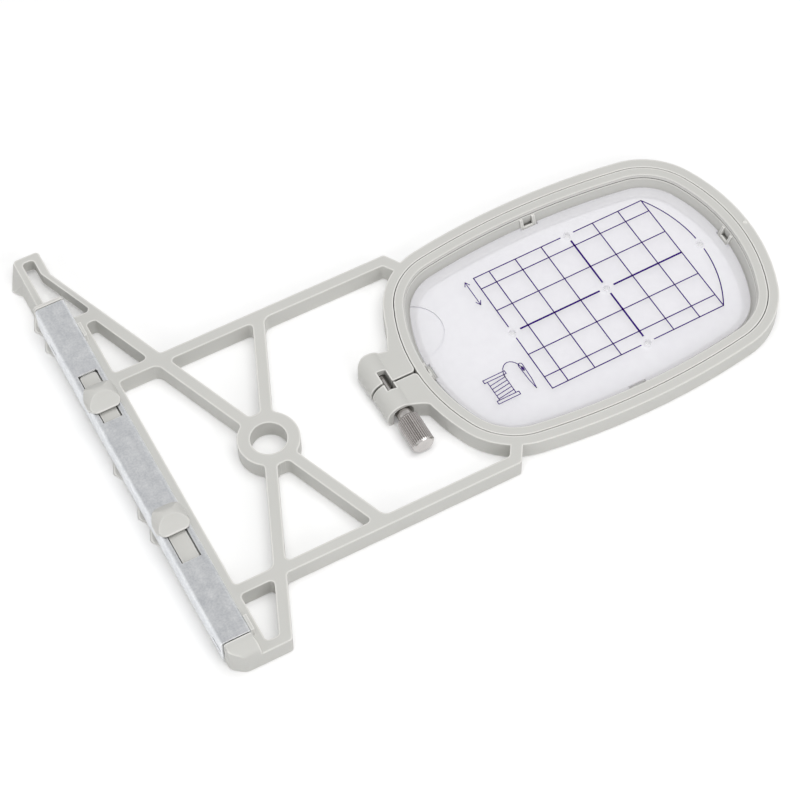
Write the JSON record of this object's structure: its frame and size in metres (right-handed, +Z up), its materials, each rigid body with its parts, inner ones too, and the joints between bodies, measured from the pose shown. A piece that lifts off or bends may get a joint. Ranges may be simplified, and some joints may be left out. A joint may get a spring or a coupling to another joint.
{
  "type": "machine embroidery hoop",
  "caption": "Embroidery hoop: oval split ring with inner ring, clear marking sheet and clamp screw, on a braced frame with a steel-covered attachment bar and sliding locks.",
  "frame": {"origin": "middle of the hoop's footprint on the bed that it lies on", "axes": "+X from the attachment bar to the ring's free end, +Y along the bar to its end loop, +Z up"},
  "size_m": [0.2246, 0.169, 0.016],
  "materials": {
    "grey_plastic": "fine moulded satin",
    "clear_sheet": "clear, slightly frosted",
    "nickel_steel": "nickel plated",
    "zinc_steel": "zinc plated, satin",
    "insert_brass": "turned"
  },
  "bodies": {
    "frame": {"outer_frame": "grey_plastic", "thread_insert": "insert_brass", "channel_cover": "zinc_steel"},
    "ring": {"inner_ring": "grey_plastic"},
    "sheet": {"marking_sheet": "clear_sheet"},
    "screw": {"clamp_screw": "nickel_steel"},
    "upper_lock": {"upper_slider": "grey_plastic", "upper_latch_plate": "zinc_steel", "upper_leaf_spring": "zinc_steel"},
    "lower_lock": {"lower_slider": "grey_plastic", "lower_latch_plate": "zinc_steel", "lower_leaf_spring": "zinc_steel"}
  },
  "joints": [
    {"name": "ring_lift", "type": "slide", "parent": "frame", "child": "ring", "axis": [0, 0, 1], "range_m": [0, 0.012]},
    {"name": "sheet_lift", "type": "slide", "parent": "ring", "child": "sheet", "axis": [0, 0, 1], "range_m": [0, 0.008]},
    {"name": "screw_turn", "type": "hinge", "parent": "frame", "child": "screw", "pos_m": [-0.02298, -0.0178, 0.004], "axis": [0, 1, 0], "continuous": true},
    {"name": "upper_lock_slide", "type": "slide", "parent": "frame", "child": "upper_lock", "axis": [0, 1, 0], "range_m": [-0.005, 0.0068]},
    {"name": "lower_lock_slide", "type": "slide", "parent": "frame", "child": "lower_lock", "axis": [0, 1, 0], "range_m": [-0.0114, 0.0004]}
  ]
}
